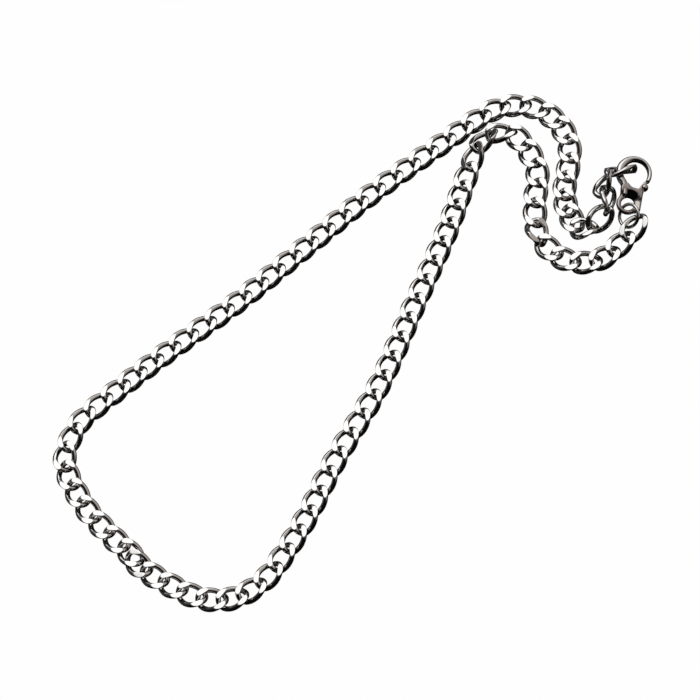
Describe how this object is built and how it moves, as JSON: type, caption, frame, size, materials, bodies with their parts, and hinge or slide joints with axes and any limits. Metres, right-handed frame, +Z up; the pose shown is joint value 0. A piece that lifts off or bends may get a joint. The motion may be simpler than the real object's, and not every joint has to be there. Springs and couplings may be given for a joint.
{
  "type": "curb chain necklace",
  "caption": "Polished steel curb chain necklace with ground flat links, closed by a lobster claw clasp and a jump ring, lying open on a table.",
  "frame": {"origin": "on the table under the middle of the box around the closed chain", "axes": "+Z up from the table; +X to the right and +Y away along the picture's rows and columns, the clasp being at +X"},
  "size_m": [0.1445, 0.1305, 0.0063],
  "materials": {
    "chain": "mirror-polished stainless steel, ground flat faces",
    "ring": "mirror-polished stainless steel",
    "clasp": "mirror-polished stainless steel"
  },
  "bodies": {
    "necklace": {"link_01": "chain", "link_02": "chain", "link_03": "chain", "link_04": "chain", "link_05": "chain", "link_06": "chain", "link_07": "chain", "link_08": "chain", "link_09": "chain", "link_10": "chain", "link_11": "chain", "link_12": "chain", "link_13": "chain", "link_14": "chain", "link_15": "chain", "link_43": "chain", "link_44": "chain", "link_45": "chain", "link_46": "chain", "link_47": "chain", "link_48": "chain", "link_49": "chain", "link_50": "chain", "link_51": "chain", "link_52": "chain", "link_77": "chain", "link_78": "chain", "link_79": "chain", "link_80": "chain", "link_81": "chain", "link_82": "chain", "link_83": "chain", "link_84": "chain", "link_85": "chain", "link_86": "chain", "link_87": "chain", "link_88": "chain", "link_89": "chain", "link_90": "chain", "link_91": "chain", "chain_run_a": "chain", "chain_run_b": "chain", "chain_run_c": "chain", "chain_run_d": "chain", "chain_run_e": "chain", "chain_run_f": "chain", "chain_run_g": "chain", "jump_ring": "ring", "clasp_body": "clasp"},
    "lever": {"clasp_lever": "clasp"}
  },
  "joints": [
    {"name": "clasp_lever_hinge", "type": "hinge", "parent": "necklace", "child": "lever", "pos_m": [0.06886, 0.03579, 0.00165], "axis": [0.2743, -0.0318, 0.9611], "range_deg": [0, 25], "stiffness_Nm_per_rad": 0.002, "springref_deg": -11.46}
  ]
}
